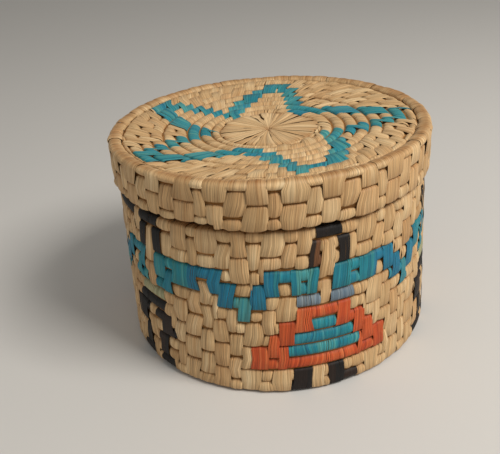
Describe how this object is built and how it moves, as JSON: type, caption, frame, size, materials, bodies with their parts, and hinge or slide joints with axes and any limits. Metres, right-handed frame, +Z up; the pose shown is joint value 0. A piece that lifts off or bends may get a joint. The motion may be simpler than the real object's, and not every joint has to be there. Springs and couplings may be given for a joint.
{
  "type": "lidded coiled basket",
  "caption": "Round basket coiled and stitched from palm leaf, with a slip-over lid, a star on the lid and dyed tent and arch figures round the wall.",
  "frame": {"origin": "centre of the underside, on the surface the basket stands on", "axes": "+Z up along the basket's axis, -Y towards the side with the tent that the picture shows, +X to its right"},
  "size_m": [0.1702, 0.1703, 0.1155],
  "materials": {
    "palm": "undyed palm strips, dry and slightly satin",
    "turquoise": "palm strips dyed turquoise, uneven",
    "orange": "palm strips dyed orange-red",
    "black": "palm strips dyed black, brownish in places",
    "grey_blue": "palm strips dyed a pale grey-blue",
    "pale_green": "palm strips dyed a faint grey-green"
  },
  "bodies": {
    "basket": {"base_rosette": "palm", "base_coil": "palm", "wall_coil": "palm", "neck_coil": "palm", "cap_1": "black", "cap_2": "black", "cap_3": "black", "cap_4": "black", "cap_5": "black", "cap_6": "black", "band_1": "turquoise", "band_2": "turquoise", "band_3": "turquoise", "band_4": "turquoise", "band_5": "turquoise", "band_6": "turquoise", "tent_1_frame": "orange", "tent_1_stripes": "turquoise", "tent_1_bar_left": "grey_blue", "tent_1_bar_right": "grey_blue", "tent_1_foot_left": "black", "tent_1_foot_right": "black", "tent_3_frame": "orange", "tent_3_stripes": "turquoise", "tent_3_bar_left": "grey_blue", "tent_3_bar_right": "grey_blue", "tent_3_foot_left": "black", "tent_3_foot_right": "black", "tent_5_frame": "orange", "tent_5_stripes": "turquoise", "tent_5_bar_left": "grey_blue", "tent_5_bar_right": "grey_blue", "tent_5_foot_left": "black", "tent_5_foot_right": "black", "arch_2": "black", "arch_2_bar": "pale_green", "arch_4": "black", "arch_4_bar": "pale_green", "arch_6": "black", "arch_6_bar": "pale_green"},
    "lid": {"lid_side_coil": "palm", "lid_top_coil": "palm", "lid_rosette": "palm", "lid_star": "turquoise"}
  },
  "joints": [
    {"name": "lid_lift", "type": "slide", "parent": "basket", "child": "lid", "axis": [0, 0, 1], "range_m": [0, 0.05]}
  ]
}
